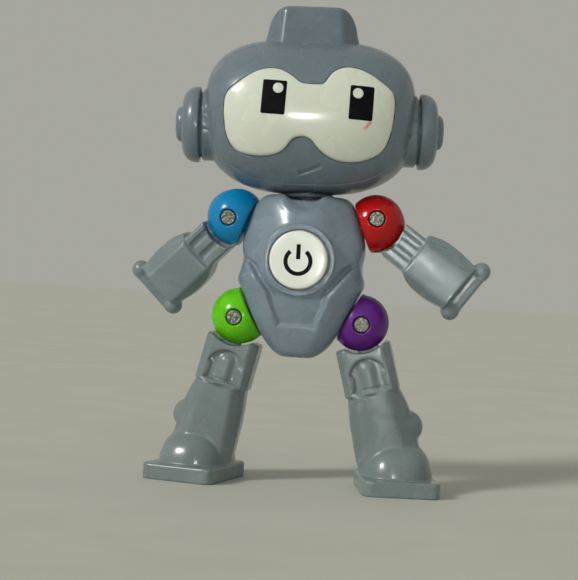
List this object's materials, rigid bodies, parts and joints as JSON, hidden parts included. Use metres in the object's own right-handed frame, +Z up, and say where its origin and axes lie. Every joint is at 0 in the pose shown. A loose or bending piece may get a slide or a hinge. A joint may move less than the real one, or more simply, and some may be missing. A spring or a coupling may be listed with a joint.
{
  "type": "toy robot figure",
  "caption": "Standing toy robot figure with jointed arms and legs, a turning head with a visor, and a push button on the chest.",
  "frame": {"origin": "on the floor under the figure, at the centre of its outline", "axes": "+Z up, the robot faces -Y, its own left side is +X"},
  "size_m": [0.075, 0.033, 0.0979],
  "materials": {
    "shell_grey": "glossy moulded plastic, slightly milky, fine swirl",
    "screw_steel": "zinc plated",
    "cell_steel": "polished nickel",
    "contact_brass": "plain sheet brass",
    "board_green": "solder mask",
    "black_plastic": "black moulding and print",
    "button_white": "gloss white",
    "visor_white": "gloss white, slightly warm at the edges",
    "ball_blue": "gloss moulded blue",
    "ball_red": "gloss moulded red",
    "ball_green": "gloss moulded lime green",
    "ball_purple": "gloss moulded purple",
    "pin_steel": "sheared, rough end faces"
  },
  "bodies": {
    "torso": {"torso_front_shell": "shell_grey", "torso_rear_shell": "shell_grey", "torso_screws": "screw_steel", "battery_door": "shell_grey", "battery_door_screw": "screw_steel", "button_cells": "cell_steel", "battery_contacts": "contact_brass", "circuit_board": "board_green", "tact_switch": "black_plastic", "speaker": "black_plastic"},
    "button": {"chest_button": "button_white", "switch_plunger": "black_plastic"},
    "head": {"head_front_shell": "shell_grey", "head_rear_shell": "shell_grey", "head_screws": "screw_steel", "visor_panel": "visor_white", "crest_block": "shell_grey", "ear_pod_right": "shell_grey", "ear_pod_left": "shell_grey", "neck_post": "shell_grey"},
    "shoulder_ball_right": {"shoulder_ball_right_front": "ball_blue", "shoulder_ball_right_rear": "ball_blue", "shoulder_pin_right": "pin_steel"},
    "arm_right": {"arm_right": "shell_grey"},
    "hip_ball_right": {"hip_ball_right_front": "ball_green", "hip_ball_right_rear": "ball_green", "hip_pin_right": "pin_steel"},
    "leg_right": {"leg_right": "shell_grey"},
    "shoulder_ball_left": {"shoulder_ball_left_front": "ball_red", "shoulder_ball_left_rear": "ball_red", "shoulder_pin_left": "pin_steel"},
    "arm_left": {"arm_left": "shell_grey"},
    "hip_ball_left": {"hip_ball_left_front": "ball_purple", "hip_ball_left_rear": "ball_purple", "hip_pin_left": "pin_steel"},
    "leg_left": {"leg_left": "shell_grey"}
  },
  "joints": [
    {"name": "neck_turn", "type": "hinge", "parent": "torso", "child": "head", "pos_m": [-0.0006, 0, 0.0593], "axis": [-0.0227, 0, 0.9997], "continuous": true},
    {"name": "chest_button_press", "type": "slide", "parent": "torso", "child": "button", "axis": [0, 1, 0], "range_m": [0, 0.0006], "stiffness_N_per_m": 1500, "springref_m": -0.0004},
    {"name": "shoulder_swivel_right", "type": "hinge", "parent": "torso", "child": "shoulder_ball_right", "pos_m": [-0.0152, 0, 0.0545], "axis": [-0.9336, 0, 0.3584], "range_deg": [-95, 95]},
    {"name": "shoulder_hinge_right", "type": "hinge", "parent": "shoulder_ball_right", "child": "arm_right", "pos_m": [-0.01576, 0, 0.05471], "axis": [0.0499, 0.9903, 0.1299], "range_deg": [-15, 65]},
    {"name": "hip_swivel_right", "type": "hinge", "parent": "torso", "child": "hip_ball_right", "pos_m": [-0.0131, 0, 0.034], "axis": [-0.891, 0, -0.454], "range_deg": [-90, 90]},
    {"name": "hip_hinge_right", "type": "hinge", "parent": "hip_ball_right", "child": "leg_right", "pos_m": [-0.01363, 0, 0.03373], "axis": [0, 1, 0], "range_deg": [-2.5, 52.5]},
    {"name": "shoulder_swivel_left", "type": "hinge", "parent": "torso", "child": "shoulder_ball_left", "pos_m": [0.014, 0, 0.0545], "axis": [-0.9336, 0, -0.3584], "range_deg": [-95, 95]},
    {"name": "shoulder_hinge_left", "type": "hinge", "parent": "shoulder_ball_left", "child": "arm_left", "pos_m": [0.01456, 0, 0.05471], "axis": [-0.0375, -0.9945, 0.0976], "range_deg": [-24.5, 55.5]},
    {"name": "hip_swivel_left", "type": "hinge", "parent": "torso", "child": "hip_ball_left", "pos_m": [0.0119, 0, 0.034], "axis": [-0.891, 0, 0.454], "range_deg": [-90, 90]},
    {"name": "hip_hinge_left", "type": "hinge", "parent": "hip_ball_left", "child": "leg_left", "pos_m": [0.01243, 0, 0.03373], "axis": [0, -1, 0], "range_deg": [-5, 50]}
  ]
}
